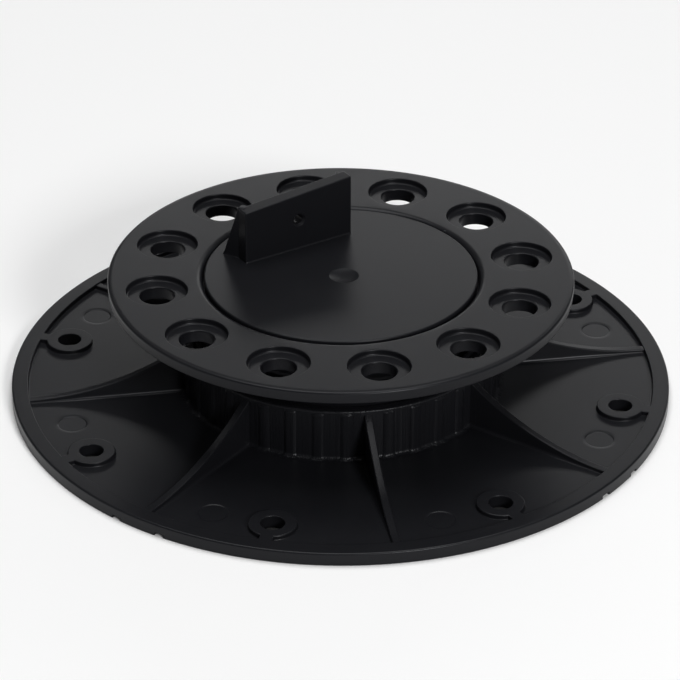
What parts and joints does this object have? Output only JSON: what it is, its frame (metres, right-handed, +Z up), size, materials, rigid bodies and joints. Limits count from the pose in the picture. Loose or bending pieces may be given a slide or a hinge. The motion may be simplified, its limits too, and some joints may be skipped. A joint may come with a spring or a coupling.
{
  "type": "decking pedestal",
  "caption": "Round adjustable decking pedestal: ribbed base plate with a collar, a drilled flange head that screws up and down in it, and a swivelling joist plate with an upright tab.",
  "frame": {"origin": "centre of the base plate's underside", "axes": "+Z up along the axis of the base, the head and the swivel; +X along the joist tab; +Y from the axis towards the tab"},
  "size_m": [0.2, 0.2, 0.0579],
  "materials": {
    "base_plate": "satin black moulded polypropylene",
    "screw_head": "satin black moulded polypropylene",
    "joist_plate": "satin black moulded polypropylene"
  },
  "bodies": {
    "base": {"base_plate": "base_plate"},
    "head": {"screw_head": "screw_head"},
    "joist_carrier": {"joist_plate": "joist_plate"}
  },
  "joints": [
    {"name": "height_adjust", "type": "slide", "parent": "base", "child": "head", "axis": [0, 0, 1], "range_m": [-0.0134, 0.0016]},
    {"name": "joist_swivel", "type": "hinge", "parent": "head", "child": "joist_carrier", "pos_m": [0, 0, 0.0384], "axis": [0, 0, 1], "continuous": true}
  ]
}
